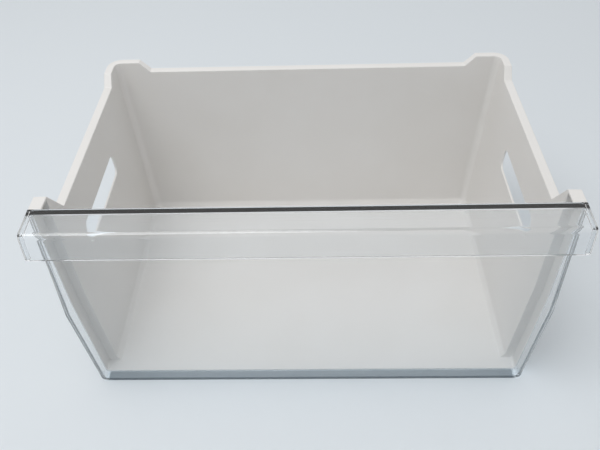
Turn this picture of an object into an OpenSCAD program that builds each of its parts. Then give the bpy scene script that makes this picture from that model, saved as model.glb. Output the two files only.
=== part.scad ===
/* [Overall] */
// Width over the front ears, measured at their tops
overall_w = 460; // [420:5:520]
// Depth of the body, from the floor's front edge to the back of the rim
body_d = 278; // [220:2:400]
// Height of the rim above the surface that the drawer stands on
rim_h = 200; // [170:2:260]

/* [Walls and rim] */
// Thickness of the side, back and collar walls
wall = 2.5; // [2:0.1:4]
// Thickness of the floor
floor_t = 2.5; // [2:0.1:4]
// Lean of every wall away from the vertical, in degrees
draft = 3.2; // [1:0.1:5]
// Radius inside, where the floor turns up into the walls
floor_fillet = 9; // [5:0.5:14]
// Radius inside the two upright rear corners
corner_r = 7; // [4:0.5:12]
// How far each side of the rim is set in from the front ears' outer faces
rim_inset = 4; // [2:0.5:15]
// Reach of the flange from the inside of the wall to its outer edge
flange_w = 9; // [6:0.5:14]
// Thickness of the flange
flange_t = 2.5; // [2:0.1:4]

/* [Rear ears] */
// Height of the rear ears above the rim
rear_ear_rise = 11.5; // [6:0.5:20]
// Length of each rear ear's flat top along the side
rear_ear_side = 30; // [24:1:60]
// Length of each rear ear's flat top along the back
rear_ear_back = 35; // [24:1:80]
// Slope of the ramps beside the rear ears, in degrees
rear_ramp = 45; // [30:1:70]

/* [Front ears] */
// Height of the front ears above the rim
front_ear_rise = 28.5; // [15:0.5:40]
// Slope of the ramp behind each front ear, in degrees
front_ramp = 55.5; // [35:0.5:75]

/* [Collar] */
// Depth inside the wider collar, from the body's front edge back to its step
collar_d = 13.5; // [8:0.5:24]
// Radius outside the collar's two lower corners
collar_r = 6.5; // [3:0.5:9]
// Height of the crease in the front
crease_h = 115; // [90:1:140]
// How far the body's front edge stands forward at the crease
edge_bulge = 2.5; // [0:0.5:5]
// How far the body's front edge is set back at the top of the ears
edge_set_back = 5.5; // [0:0.5:12]

/* [Side slots] */
// Length of each side slot
slot_l = 113; // [60:1:140]
// Height of each side slot
slot_h = 25; // [14:1:40]
// Corner radius of each side slot
slot_r = 8; // [3:0.5:12]
// Distance from the rim's top down to the slot
slot_drop = 46; // [30:1:70]
// Distance from the floor's front edge back to the slot
slot_front = 63; // [40:1:90]

/* [Front panel] */
// Thickness of the clear panel
panel_t = 3; // [2:0.1:4]
// How far the crease stands in front of the floor's front edge
crease_reach = 17; // [10:0.5:24]
// How far the panel's foot stands in front of the floor's front edge
foot_reach = 12.5; // [6:0.5:20]
// Gap between the panel and the body where they meet
seat_gap = 0.2; // [0.1:0.05:0.5]

/* [Handle lip] */
// How far the lip's lower edge stands in front of the floor's front edge
lip_reach = 30; // [24:0.5:44]
// Height of the lip, from the panel's top down to its lower edge
lip_h = 25.5; // [16:0.5:40]
// Fall of the lip's top face towards its bend, in degrees
lip_fall = 2; // [0:0.5:10]
// Forward lean of the lip's front face, in degrees
lip_lean = 11; // [0:0.5:20]
// Outer radius of the lip's bend
lip_bend_r = 6; // [4:0.5:10]
// Radius under the lip, where it leaves the panel
lip_root_r = 2; // [1:0.5:4]
// Depth of the rib inside each end of the lip, from the lip's outer faces
lip_rib_d = 6; // [4:0.5:10]

/* [Hidden] */

curve_fn = 48;
arc_steps = 8;
cut = 1;

rim_w = overall_w - 2 * rim_inset;
ear_h = rim_h + front_ear_rise;
rear_ear_h = rim_h + rear_ear_rise;
slope = tan(draft);
overall_d = lip_reach + body_d;
front_y = lip_reach - overall_d / 2;
back_y = overall_d / 2;
ear_back = front_y + edge_set_back + collar_d + wall;

// Half width inside the side walls, and outside the collar, at a height
function inside_x(z) = rim_w / 2 - flange_w - (rim_h - z) * slope;
function collar_x(z) = overall_w / 2 - (ear_h - z) * slope;
// Inner face of the back wall at a height
function inside_y(z) = back_y - flange_w - (rim_h - z) * slope;

// Front edge of the body as [y, z], from the ground up to the ears' tops,
// moved back by shift
function front_edge(shift) = [
    [front_y + shift, 0],
    [front_y - edge_bulge + shift, crease_h],
    [front_y + edge_set_back + shift, ear_h]
];
// Front face of the clear plate as [y, z], from its foot up to the top
plate_face = [
    [front_y - foot_reach, 0],
    [front_y - crease_reach, crease_h],
    [front_y + edge_set_back - seat_gap - panel_t, ear_h]
];

// Directions along the lip's top and front faces and square to them, as [y, z]
top_way = [-cos(lip_fall), -sin(lip_fall)];
top_normal = [-sin(lip_fall), cos(lip_fall)];
front_way = [sin(lip_lean), cos(lip_lean)];
front_normal = [-cos(lip_lean), sin(lip_lean)];
lip_top = [front_y + edge_set_back - seat_gap, ear_h];
lip_foot = [front_y - lip_reach, ear_h - lip_h];

function reversed(list) = [for (i = [len(list) - 1:-1:0]) list[i]];
function arc(centre, r, from, to) = [
    for (i = [0:arc_steps])
    let (a = from + (to - from) * i / arc_steps)
    centre + r * [cos(a), sin(a)]
];
// Point where the line through p along u crosses the line through q along v
function crossing(p, u, q, v) =
    p + u * ((q[0] - p[0]) * v[1] - (q[1] - p[1]) * v[0]) / (u[0] * v[1] - u[1] * v[0]);

// Carries a [y, z] outline across the whole width
module across(width) {
    rotate([90, 0, 90])
        linear_extrude(width, center = true)
            children();
}

// Carries an [x, z] outline from y_from back to y_to
module along(y_from, y_to) {
    translate([0, y_to, 0])
        rotate([90, 0, 0])
            linear_extrude(y_to - y_from)
                children();
}

// Tub with drafted walls and rounded floor edges, open past its front;
// grow = 0 gives the inside and grow = wall the outside
module tub_form(grow, base_z) {
    far_front = front_y - crease_reach - collar_d;
    ball_z = floor_t + floor_fillet;
    ball_in = floor_fillet / cos(draft);
    hull() {
        for (side = [-1, 1], y = [far_front, inside_y(ball_z) - ball_in])
            translate([side * (inside_x(ball_z) - ball_in), y, ball_z])
                sphere(floor_fillet + grow, $fn = curve_fn);
        for (side = [-1, 1], y = [far_front, inside_y(ear_h + cut) - corner_r])
            translate([side * (inside_x(ear_h + cut) - corner_r), y, ear_h])
                cylinder(cut, r = corner_r + grow, $fn = curve_fn);
        for (side = [-1, 1], y = [far_front, inside_y(ball_z) - ball_in])
            translate([side * (inside_x(ball_z) - ball_in), y, base_z])
                cylinder(cut, r = floor_fillet / 2, $fn = curve_fn);
    }
}

// Upright block over the rim's outline, with round rear corners
module flange_form() {
    r = corner_r + flange_w;
    hull() {
        for (side = [-1, 1])
            translate([side * (rim_w / 2 - r), back_y - r, 0])
                cylinder(ear_h, r = r, $fn = curve_fn);
        translate([-rim_w / 2, front_y, 0])
            cube([rim_w, cut, ear_h]);
    }
}

// Everything under the line of the rim and its ears, and drop inside that line
module under_rim(drop) {
    front_run = front_ear_rise / tan(front_ramp);
    rear_run = rear_ear_rise / tan(rear_ramp);
    ear_end = ear_back - drop * tan(front_ramp / 2);
    side_top = back_y - rear_ear_side + drop * tan(rear_ramp / 2);
    back_top = rim_w / 2 - rear_ear_back + drop * tan(rear_ramp / 2);
    side_line = [
        [front_y - crease_reach - collar_d, -cut],
        [front_y - crease_reach - collar_d, ear_h - drop],
        [ear_end, ear_h - drop],
        [ear_end + front_run, rim_h - drop],
        [side_top - rear_run, rim_h - drop],
        [side_top, rear_ear_h - drop],
        [back_y + cut, rear_ear_h - drop],
        [back_y + cut, -cut]
    ];
    back_line = [
        [-rim_w, -cut],
        [-rim_w, rear_ear_h - drop],
        [-back_top, rear_ear_h - drop],
        [-back_top + rear_run, rim_h - drop],
        [back_top - rear_run, rim_h - drop],
        [back_top, rear_ear_h - drop],
        [rim_w, rear_ear_h - drop],
        [rim_w, -cut]
    ];
    intersection() {
        across(overall_w + rim_w) polygon(side_line);
        union() {
            along(side_top - 2 * rear_run, back_y + 2 * cut) polygon(back_line);
            along(front_y - crease_reach - 2 * collar_d, side_top - rear_run)
                translate([-rim_w, -cut]) square([2 * rim_w, ear_h + cut]);
        }
    }
}

// Outline across the collar, drafted, with round lower corners
module collar_outline(inset, r, low, top) {
    foot_x = collar_x(low) - inset;
    top_x = collar_x(top) - inset;
    bend_x = collar_x(low + r) - inset - r / cos(draft);
    hull() {
        for (side = [-1, 1])
            translate([side * bend_x, low + r])
                circle(r, $fn = curve_fn);
        polygon([[-top_x, top], [top_x, top], [foot_x - r, low], [r - foot_x, low]]);
    }
}

// Slots through both side walls at once
module side_slots() {
    y_near = front_y + slot_front + slot_r;
    y_far = front_y + slot_front + slot_l - slot_r;
    z_top = rim_h - slot_drop - slot_r;
    z_low = rim_h - slot_drop - slot_h + slot_r;
    across(2 * overall_w)
        hull()
            for (y = [y_near, y_far], z = [z_low, z_top])
                translate([y, z])
                    circle(slot_r, $fn = curve_fn);
}

// Room in front of the body's front edge, moved back by shift
module before_edge(shift) {
    far = front_y - lip_reach - crease_reach - 2 * collar_d;
    edge = front_edge(shift);
    across(2 * overall_w)
        polygon(concat(
            [[far, -cut], edge[0] - [0, cut]],
            edge,
            [edge[2] + [0, cut], [far, ear_h + cut]]
        ));
}

// Wider band along the front edge, with the step wall behind it
module collar() {
    far = front_y - crease_reach;
    difference() {
        intersection() {
            along(far, ear_back) collar_outline(0, collar_r, 0, ear_h);
            before_edge(collar_d + wall);
        }
        intersection() {
            along(far - cut, ear_back)
                collar_outline(wall, collar_r - wall, floor_t, ear_h - flange_t);
            before_edge(collar_d);
        }
    }
}

module drawer_body() {
    color("whitesmoke")
        difference() {
            union() {
                difference() {
                    union() {
                        intersection() {
                            tub_form(wall, 0);
                            under_rim(0);
                        }
                        difference() {
                            intersection() {
                                flange_form();
                                under_rim(0);
                            }
                            under_rim(flange_t);
                        }
                    }
                    before_edge(collar_d);
                }
                collar();
            }
            tub_form(0, floor_t);
            before_edge(0);
            side_slots();
        }
}

// Corner between the lip's top and front faces, both moved in by depth
function lip_corner(depth) =
    crossing(
        lip_top - depth * top_normal, top_way,
        lip_foot - depth * front_normal, front_way
    );

// Arc of the given radius around the lip's bend, from the top to the front
function lip_bend(r) = arc(lip_corner(lip_bend_r), r, 90 + lip_fall, 180 - lip_lean);

// Section through the clear plate, its foot and its lip, as [y, z]
function panel_section() =
    let (
        plate_way = plate_face[2] - plate_face[1],
        plate_normal = [-plate_way[1], plate_way[0]] / norm(plate_way),
        root = crossing(
            lip_top - (panel_t + lip_root_r) * top_normal, top_way,
            plate_face[1] + lip_root_r * plate_normal, plate_way
        ),
        back_crease = plate_face[1] + [panel_t, 0],
        back_foot = plate_face[0] + [panel_t, floor_t]
    )
    concat(
        [plate_face[0], plate_face[1]],
        arc(root, lip_root_r, atan2(-plate_normal[1], -plate_normal[0]), 90 + lip_fall),
        lip_bend(lip_bend_r - panel_t),
        [lip_foot - panel_t * front_normal, lip_foot],
        reversed(lip_bend(lip_bend_r)),
        [lip_top, back_crease, back_foot],
        [[front_y - seat_gap, floor_t], [front_y - seat_gap, 0]]
    );

// Section through the rib inside each end of the lip
function rib_section() =
    concat(
        [lip_top - lip_rib_d * top_normal, lip_corner(lip_rib_d)],
        [lip_foot - lip_rib_d * front_normal, lip_foot],
        reversed(lip_bend(lip_bend_r)),
        [lip_top]
    );

module front_panel() {
    far = front_y - lip_reach - cut;
    color("lightsteelblue", 0.4)
        intersection() {
            along(far, ear_back)
                collar_outline(0, collar_r, 0, ear_h + cut);
            before_edge(-seat_gap);
            union() {
                across(2 * overall_w) polygon(panel_section());
                difference() {
                    across(2 * overall_w) {
                        polygon(concat(plate_face, reversed(front_edge(-seat_gap))));
                        polygon(rib_section());
                    }
                    along(far - cut, ear_back + cut)
                        collar_outline(panel_t, collar_r - panel_t, floor_t, ear_h + 2 * cut);
                }
            }
        }
}

drawer_body();
front_panel();
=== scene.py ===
"""A fridge drawer: one white moulded body and one clear moulded front panel."""

import math

import bmesh
import bpy
import numpy as np
from mathutils import Matrix, Vector


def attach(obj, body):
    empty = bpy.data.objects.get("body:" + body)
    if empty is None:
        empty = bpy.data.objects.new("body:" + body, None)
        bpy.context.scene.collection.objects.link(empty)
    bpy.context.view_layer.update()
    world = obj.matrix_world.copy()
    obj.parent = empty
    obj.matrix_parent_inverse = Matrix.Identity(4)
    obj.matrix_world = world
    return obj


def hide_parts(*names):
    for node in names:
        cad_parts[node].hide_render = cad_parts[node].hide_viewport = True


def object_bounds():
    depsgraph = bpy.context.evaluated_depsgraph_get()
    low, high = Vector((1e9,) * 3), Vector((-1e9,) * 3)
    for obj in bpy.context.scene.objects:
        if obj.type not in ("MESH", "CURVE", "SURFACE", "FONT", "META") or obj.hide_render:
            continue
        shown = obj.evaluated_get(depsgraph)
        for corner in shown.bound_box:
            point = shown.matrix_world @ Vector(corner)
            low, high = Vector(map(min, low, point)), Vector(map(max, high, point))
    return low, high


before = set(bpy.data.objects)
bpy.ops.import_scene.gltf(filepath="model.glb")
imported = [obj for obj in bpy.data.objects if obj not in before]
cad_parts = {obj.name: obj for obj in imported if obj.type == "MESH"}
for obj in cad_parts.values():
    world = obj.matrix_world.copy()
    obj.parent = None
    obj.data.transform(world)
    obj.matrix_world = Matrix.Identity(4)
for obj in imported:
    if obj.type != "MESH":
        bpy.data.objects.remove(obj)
CAD_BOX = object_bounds()

bl_info = {
    "name": "Fridge Drawer",
    "version": (1, 0, 0),
    "blender": (4, 5, 0),
    "location": "3D View > Sidebar > Fridge Drawer",
    "description": "Moulded body, clear front panel and soft studio light for a fridge drawer",
    "category": "Object",
}

BODY_NODE, PANEL_NODE = "drawer_body", "front_panel"

# Points nearer than this are one point, and faces flatter than this are one face
SAME_POINT = 2e-6
SAME_PLANE = math.radians(0.2)
# Edges that fold more than this are rounded
BODY_FOLD, PANEL_FOLD = math.radians(20), math.radians(25)
# The camera's place, and its pitch below the level, its yaw and its roll
CAMERA_PLACE = (0.01146, -0.51335, 0.58717)
CAMERA_PITCH, CAMERA_YAW, CAMERA_ROLL = 0.76677, 0.03933, -0.03966
KEY_PLACE, KEY_TARGET, KEY_SIZE = (-0.55, -0.25, 1.9), (0, 0, 0.1), 1.3


# ---------------------------------------------------------------- settings


class BodySettings(bpy.types.PropertyGroup):
    edge_radius: bpy.props.FloatProperty(
        name="Edge radius",
        description="Rounding of the body's outside edges",
        default=0.0009,
        min=0.0,
        unit="LENGTH",
    )
    rim_radius: bpy.props.FloatProperty(
        name="Rim radius",
        description="Rounding where the rim turns down into the inside walls",
        default=0.0016,
        min=0.0,
        unit="LENGTH",
    )
    colour: bpy.props.FloatVectorProperty(
        name="Colour",
        description="White of the moulded body",
        default=(0.76, 0.745, 0.725),
        min=0.0,
        max=1.0,
        subtype="COLOR",
    )
    roughness: bpy.props.FloatProperty(
        name="Roughness",
        description="Roughness of the moulded surface",
        default=0.34,
        min=0.0,
        max=1.0,
        subtype="FACTOR",
    )


class PanelSettings(bpy.types.PropertyGroup):
    edge_radius: bpy.props.FloatProperty(
        name="Edge radius",
        description="Rounding of the clear panel's edges",
        default=0.0004,
        min=0.0,
        unit="LENGTH",
    )
    tint: bpy.props.FloatVectorProperty(
        name="Tint",
        description="Colour that light keeps on a long way through the clear plastic",
        default=(0.165, 0.354, 0.494),
        min=0.0,
        max=1.0,
        subtype="COLOR",
    )
    tint_density: bpy.props.FloatProperty(
        name="Tint density",
        description="How soon the clear plastic's tint builds up with its thickness",
        default=20.0,
        min=0.0,
    )


class StageSettings(bpy.types.PropertyGroup):
    floor_colour: bpy.props.FloatVectorProperty(
        name="Floor colour",
        description="Colour of the plain floor",
        default=(0.72, 0.76, 0.79),
        min=0.0,
        max=1.0,
        subtype="COLOR",
    )
    floor_size: bpy.props.FloatProperty(
        name="Floor size",
        description="Length of each side of the floor",
        default=8.0,
        min=1.0,
        unit="LENGTH",
    )
    sky: bpy.props.FloatProperty(
        name="Sky light",
        description="Level of the even light from all round",
        default=0.62,
        min=0.0,
    )
    key: bpy.props.FloatProperty(
        name="Key light",
        description="Power of the large soft lamp above",
        default=16.0,
        min=0.0,
        unit="POWER",
    )


# ---------------------------------------------------------------- shapes


def merged_copy(node, name):
    """A CAD node's skin as a mesh of its own, with its doubles merged and each
    flat face in one piece."""
    shape = bmesh.new()
    shape.from_mesh(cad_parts[node].data)
    bmesh.ops.remove_doubles(shape, verts=shape.verts, dist=SAME_POINT)
    bmesh.ops.dissolve_limit(
        shape, angle_limit=SAME_PLANE, verts=shape.verts, edges=shape.edges
    )
    mesh = bpy.data.meshes.new(name)
    shape.to_mesh(mesh)
    shape.free()
    for old in list(mesh.materials):
        mesh.materials.pop(index=0)
    return mesh


def edge_folds(mesh):
    """The angle between each edge's two faces, positive where they meet as an outside
    edge."""
    shape = bmesh.new()
    shape.from_mesh(mesh)
    folds = np.array([e.calc_face_angle_signed(0.0) for e in shape.edges])
    shape.free()
    return folds


def round_edges(piece, share, radius, segments=3):
    """Rounds each edge by its share of the radius, then smooths the piece so that its
    flat faces stay flat."""
    mesh = piece.data
    weights = mesh.attributes.new("bevel_weight_edge", "FLOAT", "EDGE")
    weights.data.foreach_set("value", share.astype(np.float32))
    bevel = piece.modifiers.new("Rounded edges", "BEVEL")
    bevel.limit_method = "WEIGHT"
    bevel.width = radius
    bevel.segments = segments
    bevel.use_clamp_overlap = False
    bevel.miter_outer = "MITER_SHARP"
    normals = piece.modifiers.new("Flat faces stay flat", "WEIGHTED_NORMAL")
    normals.keep_sharp = True
    mesh.polygons.foreach_set("use_smooth", np.ones(len(mesh.polygons), bool))
    mesh.update()


def add_piece(mesh, name, material, node=None):
    """Puts a finished mesh in the scene as one piece of the drawer."""
    piece = bpy.data.objects.new(name, mesh)
    bpy.context.scene.collection.objects.link(piece)
    mesh.materials.append(material)
    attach(piece, "root")
    if node:
        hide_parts(node)
    return piece


# ---------------------------------------------------------------- materials


def new_material(name):
    material = bpy.data.materials.new(name)
    material.use_nodes = True
    material.node_tree.nodes.clear()
    return material, material.node_tree.nodes, material.node_tree.links


def moulded_skin():
    """Node group: the faint ripple and clouding of a moulded surface."""
    found = bpy.data.node_groups.get("Moulded skin")
    if found:
        return found
    group = bpy.data.node_groups.new("Moulded skin", "ShaderNodeTree")
    sockets = group.interface
    sockets.new_socket("Ripple size", in_out="INPUT", socket_type="NodeSocketFloat")
    sockets.new_socket("Cloud size", in_out="INPUT", socket_type="NodeSocketFloat")
    sockets.new_socket("Height", in_out="OUTPUT", socket_type="NodeSocketFloat")
    sockets.new_socket("Clouds", in_out="OUTPUT", socket_type="NodeSocketFloat")
    nodes, links = group.nodes, group.links
    inside = nodes.new("NodeGroupInput")
    outside = nodes.new("NodeGroupOutput")
    place = nodes.new("ShaderNodeTexCoord")
    for size, result, detail in (
        ("Ripple size", "Height", 3.0),
        ("Cloud size", "Clouds", 2.0),
    ):
        density = nodes.new("ShaderNodeMath")
        density.operation = "DIVIDE"
        density.inputs[0].default_value = 1.0
        links.new(inside.outputs[size], density.inputs[1])
        noise = nodes.new("ShaderNodeTexNoise")
        noise.inputs["Detail"].default_value = detail
        links.new(place.outputs["Object"], noise.inputs["Vector"])
        links.new(density.outputs[0], noise.inputs["Scale"])
        links.new(noise.outputs["Fac"], outside.inputs[result])
    return group


def skin_node(nodes, ripple, cloud):
    node = nodes.new("ShaderNodeGroup")
    node.node_tree = moulded_skin()
    node.inputs["Ripple size"].default_value = ripple
    node.inputs["Cloud size"].default_value = cloud
    return node


def white_plastic(settings):
    material, nodes, links = new_material("White moulded plastic")
    surface = nodes.new("ShaderNodeBsdfPrincipled")
    out = nodes.new("ShaderNodeOutputMaterial")
    links.new(surface.outputs[0], out.inputs["Surface"])
    skin = skin_node(nodes, 0.0025, 0.09)
    colours = nodes.new("ShaderNodeValToRGB")
    base = np.array(settings.colour)
    colours.color_ramp.elements[0].position = 0.3
    colours.color_ramp.elements[0].color = (*(base * (0.985, 0.98, 0.972)), 1)
    colours.color_ramp.elements[1].position = 0.7
    colours.color_ramp.elements[1].color = (*np.minimum(base * 1.015, 1), 1)
    links.new(skin.outputs["Clouds"], colours.inputs["Fac"])
    links.new(colours.outputs["Color"], surface.inputs["Base Color"])
    gloss = nodes.new("ShaderNodeMapRange")
    gloss.inputs["From Min"].default_value = 0.3
    gloss.inputs["From Max"].default_value = 0.7
    gloss.inputs["To Min"].default_value = settings.roughness - 0.04
    gloss.inputs["To Max"].default_value = settings.roughness + 0.04
    links.new(skin.outputs["Clouds"], gloss.inputs["Value"])
    links.new(gloss.outputs["Result"], surface.inputs["Roughness"])
    bump = nodes.new("ShaderNodeBump")
    bump.inputs["Strength"].default_value = 0.25
    bump.inputs["Distance"].default_value = 0.00008
    links.new(skin.outputs["Height"], bump.inputs["Height"])
    links.new(bump.outputs["Normal"], surface.inputs["Normal"])
    return material


def clear_plastic(settings):
    material, nodes, links = new_material("Clear moulded plastic")
    glass = nodes.new("ShaderNodeBsdfPrincipled")
    glass.inputs["Base Color"].default_value = (1, 1, 1, 1)
    glass.inputs["IOR"].default_value = 1.57
    glass.inputs["Transmission Weight"].default_value = 1.0
    skin = skin_node(nodes, 0.006, 0.05)
    gloss = nodes.new("ShaderNodeMapRange")
    gloss.inputs["From Min"].default_value = 0.3
    gloss.inputs["From Max"].default_value = 0.7
    gloss.inputs["To Min"].default_value = 0.01
    gloss.inputs["To Max"].default_value = 0.05
    links.new(skin.outputs["Clouds"], gloss.inputs["Value"])
    links.new(gloss.outputs["Result"], glass.inputs["Roughness"])
    bump = nodes.new("ShaderNodeBump")
    bump.inputs["Strength"].default_value = 0.12
    bump.inputs["Distance"].default_value = 0.00005
    links.new(skin.outputs["Height"], bump.inputs["Height"])
    links.new(bump.outputs["Normal"], glass.inputs["Normal"])
    lamps_through = nodes.new("ShaderNodeBsdfTransparent")
    lamps_through.inputs["Color"].default_value = (0.93, 0.95, 0.96, 1)
    rays = nodes.new("ShaderNodeLightPath")
    either = nodes.new("ShaderNodeMixShader")
    links.new(rays.outputs["Is Shadow Ray"], either.inputs[0])
    links.new(glass.outputs[0], either.inputs[1])
    links.new(lamps_through.outputs[0], either.inputs[2])
    out = nodes.new("ShaderNodeOutputMaterial")
    links.new(either.outputs[0], out.inputs["Surface"])
    depth = nodes.new("ShaderNodeVolumeAbsorption")
    depth.inputs["Color"].default_value = (*settings.tint, 1)
    depth.inputs["Density"].default_value = settings.tint_density
    links.new(depth.outputs[0], out.inputs["Volume"])
    return material


def floor_paint(settings):
    material, nodes, links = new_material("Plain floor")
    surface = nodes.new("ShaderNodeBsdfPrincipled")
    surface.inputs["Base Color"].default_value = (*settings.floor_colour, 1)
    surface.inputs["Roughness"].default_value = 0.7
    out = nodes.new("ShaderNodeOutputMaterial")
    links.new(surface.outputs[0], out.inputs["Surface"])
    return material


# ---------------------------------------------------------------- operators


class FRIDGE_DRAWER_OT_body(bpy.types.Operator):
    """Makes the white body: its moulded skin with every edge rounded"""

    bl_idname = "fridge_drawer.body"
    bl_label = "Make body"

    def execute(self, context):
        settings = context.scene.fridge_drawer_body
        mesh = merged_copy(BODY_NODE, "moulded_body")
        folds = edge_folds(mesh)
        piece = add_piece(
            mesh, "moulded_body", white_plastic(settings), BODY_NODE
        )
        share = np.where(
            np.abs(folds) > BODY_FOLD, settings.edge_radius / settings.rim_radius, 0.0
        )
        round_edges(piece, share, settings.rim_radius)
        return {"FINISHED"}


class FRIDGE_DRAWER_OT_panel(bpy.types.Operator):
    """Makes the clear front panel with its crease, side flanges and handle lip"""

    bl_idname = "fridge_drawer.panel"
    bl_label = "Make front panel"

    def execute(self, context):
        settings = context.scene.fridge_drawer_panel
        mesh = merged_copy(PANEL_NODE, "clear_panel")
        folds = edge_folds(mesh)
        piece = add_piece(
            mesh, "clear_panel", clear_plastic(settings), PANEL_NODE
        )
        share = np.where(np.abs(folds) > PANEL_FOLD, 1.0, 0.0)
        round_edges(piece, share, settings.edge_radius, 2)
        return {"FINISHED"}


class FRIDGE_DRAWER_OT_stage(bpy.types.Operator):
    """Sets the plain floor, the white surroundings, the soft lamp and the camera"""

    bl_idname = "fridge_drawer.stage"
    bl_label = "Set stage"

    def execute(self, context):
        scene = context.scene
        settings = scene.fridge_drawer_stage
        half = settings.floor_size / 2
        ground = CAD_BOX[0].z
        mesh = bpy.data.meshes.new("floor")
        corners = [
            (-half, -half, ground),
            (half, -half, ground),
            (half, half, ground),
            (-half, half, ground),
        ]
        mesh.from_pydata(corners, [], [(0, 1, 2, 3)])
        mesh.materials.append(floor_paint(settings))
        floor = bpy.data.objects.new("floor", mesh)
        scene.collection.objects.link(floor)
        set_sky(scene, settings)
        add_lamp("Key lamp", KEY_PLACE, KEY_TARGET, KEY_SIZE, settings.key)
        add_camera(scene)
        scene.view_settings.view_transform = "Standard"
        return {"FINISHED"}


def set_sky(scene, settings):
    """Even grey light all round, which shows as white to the camera, in gloss and
    through clear plastic."""
    world = bpy.data.worlds.new("Even sky")
    scene.world = world
    world.use_nodes = True
    nodes, links = world.node_tree.nodes, world.node_tree.links
    nodes.clear()
    rays = nodes.new("ShaderNodeLightPath")
    seen = nodes.new("ShaderNodeMath")
    seen.operation = "MAXIMUM"
    links.new(rays.outputs["Is Camera Ray"], seen.inputs[0])
    links.new(rays.outputs["Is Transmission Ray"], seen.inputs[1])
    either = nodes.new("ShaderNodeMath")
    either.operation = "MAXIMUM"
    links.new(seen.outputs[0], either.inputs[0])
    links.new(rays.outputs["Is Glossy Ray"], either.inputs[1])
    light = nodes.new("ShaderNodeBackground")
    light.inputs["Color"].default_value = (0.97, 0.985, 1.0, 1)
    light.inputs["Strength"].default_value = settings.sky
    white = nodes.new("ShaderNodeBackground")
    white.inputs["Color"].default_value = (1, 1, 1, 1)
    white.inputs["Strength"].default_value = 1.0
    pick = nodes.new("ShaderNodeMixShader")
    out = nodes.new("ShaderNodeOutputWorld")
    links.new(either.outputs[0], pick.inputs[0])
    links.new(light.outputs[0], pick.inputs[1])
    links.new(white.outputs[0], pick.inputs[2])
    links.new(pick.outputs[0], out.inputs["Surface"])


def add_lamp(name, place, target, size, power):
    """A square soft lamp at a place, turned towards a target."""
    data = bpy.data.lights.new(name, "AREA")
    data.shape = "SQUARE"
    data.size = size
    data.energy = power
    lamp = bpy.data.objects.new(name, data)
    bpy.context.scene.collection.objects.link(lamp)
    towards = Vector(target) - Vector(place)
    lamp.location = place
    lamp.rotation_mode = "QUATERNION"
    lamp.rotation_quaternion = towards.to_track_quat("-Z", "Y")


def add_camera(scene):
    """The camera, at its place and turned by its three angles."""
    data = bpy.data.cameras.new("Camera")
    data.lens = 39.0
    data.sensor_width = 36.0
    data.clip_start, data.clip_end = 0.01, 50.0
    camera = bpy.data.objects.new("Camera", data)
    scene.collection.objects.link(camera)
    turn = (
        Matrix.Rotation(CAMERA_YAW, 4, "Z")
        @ Matrix.Rotation(math.pi / 2 - CAMERA_PITCH, 4, "X")
        @ Matrix.Rotation(CAMERA_ROLL, 4, "Z")
    )
    camera.matrix_world = Matrix.Translation(CAMERA_PLACE) @ turn
    scene.camera = camera


# ---------------------------------------------------------------- sidebar


class FRIDGE_DRAWER_PT_sidebar(bpy.types.Panel):
    bl_label = "Fridge Drawer"
    bl_idname = "FRIDGE_DRAWER_PT_sidebar"
    bl_space_type = "VIEW_3D"
    bl_region_type = "UI"
    bl_category = "Fridge Drawer"

    def draw(self, context):
        for group, operator in GROUPS:
            box = self.layout.box()
            settings = getattr(context.scene, group)
            for name in settings.__annotations__:
                box.prop(settings, name)
            box.operator(operator.bl_idname)


GROUPS = (
    ("fridge_drawer_body", FRIDGE_DRAWER_OT_body),
    ("fridge_drawer_panel", FRIDGE_DRAWER_OT_panel),
    ("fridge_drawer_stage", FRIDGE_DRAWER_OT_stage),
)
SETTINGS = {
    "fridge_drawer_body": BodySettings,
    "fridge_drawer_panel": PanelSettings,
    "fridge_drawer_stage": StageSettings,
}
CLASSES = (
    *SETTINGS.values(),
    *(operator for _, operator in GROUPS),
    FRIDGE_DRAWER_PT_sidebar,
)


def register():
    for cls in CLASSES:
        bpy.utils.register_class(cls)
    for group, settings in SETTINGS.items():
        setattr(bpy.types.Scene, group, bpy.props.PointerProperty(type=settings))


def unregister():
    for group in SETTINGS:
        delattr(bpy.types.Scene, group)
    for cls in reversed(CLASSES):
        bpy.utils.unregister_class(cls)


def main():
    register()
    bpy.ops.fridge_drawer.body()
    bpy.ops.fridge_drawer.panel()
    bpy.ops.fridge_drawer.stage()


if __name__ == "__main__":
    main()
